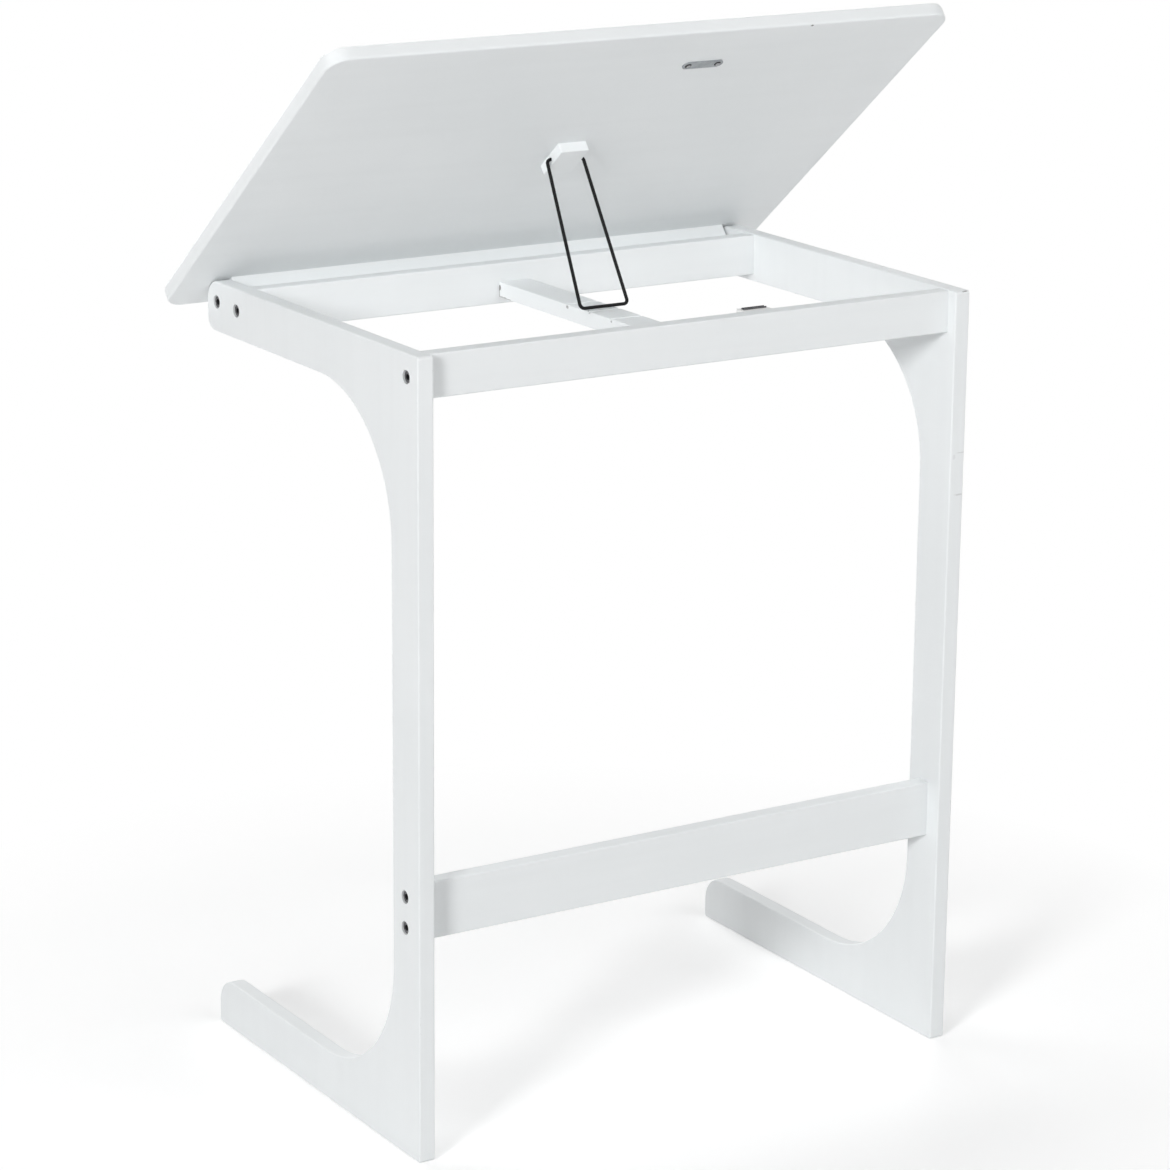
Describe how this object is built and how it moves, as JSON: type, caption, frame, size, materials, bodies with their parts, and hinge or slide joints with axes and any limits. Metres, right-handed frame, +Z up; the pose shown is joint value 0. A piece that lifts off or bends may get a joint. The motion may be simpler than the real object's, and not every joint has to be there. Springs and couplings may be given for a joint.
{
  "type": "tilting side table",
  "caption": "White side table with C-shaped side panels, a rounded wooden top that tilts up on pivot bolts, a black wire prop on a grooved rack and a magnetic catch.",
  "frame": {"origin": "on the floor, under the middle of the object's box in its rest pose with the top propped up", "axes": "+Z up, +X to the right seen from the front rail, +Y from the front rail towards the hinge"},
  "size_m": [0.608, 0.3974, 0.9214],
  "materials": {
    "white_paint": "white satin paint over board",
    "bolt_steel": "dark zinc plated",
    "screw_steel": "zinc plated",
    "insert_metal": "zinc plated",
    "dowel_wood": "bare beech",
    "catch_plastic": "moulded white",
    "magnet_ferrite": "sintered dark grey",
    "pole_steel": "plain rolled",
    "plate_steel": "zinc plated",
    "black_wire": "black coating"
  },
  "bodies": {
    "frame": {"left_side_panel": "white_paint", "right_side_panel": "white_paint", "front_rail": "white_paint", "back_rail": "white_paint", "lower_stretcher": "white_paint", "prop_rack": "white_paint", "front_rail_bolts": "bolt_steel", "back_rail_bolts": "bolt_steel", "stretcher_bolts": "bolt_steel", "front_rail_inserts": "insert_metal", "back_rail_inserts": "insert_metal", "stretcher_inserts": "insert_metal", "front_rail_dowels": "dowel_wood", "back_rail_dowels": "dowel_wood", "rack_dowels": "dowel_wood", "catch_body": "catch_plastic", "catch_magnet": "magnet_ferrite", "catch_pole_plates": "pole_steel", "catch_screws": "screw_steel"},
    "top": {"table_top": "white_paint", "hinge_rail": "white_paint", "hinge_rail_screws": "screw_steel", "pivot_bolts": "bolt_steel", "pivot_inserts": "insert_metal", "prop_block": "white_paint", "prop_block_dowels": "dowel_wood", "strike_plate": "plate_steel", "strike_plate_screws": "screw_steel"},
    "prop": {"prop_wire": "black_wire"}
  },
  "joints": [
    {"name": "top_tilt", "type": "hinge", "parent": "frame", "child": "top", "pos_m": [0, 0.15129, 0.669], "axis": [-1, 0, 0], "range_deg": [-39, 8]},
    {"name": "prop_swing", "type": "hinge", "parent": "top", "child": "prop", "pos_m": [0, 0.02377, 0.7904], "axis": [1, 0, 0], "range_deg": [-101, 21]}
  ],
  "couplings": [
    {"joint": "prop_swing", "follows": "top_tilt", "ratio": 2.578}
  ]
}
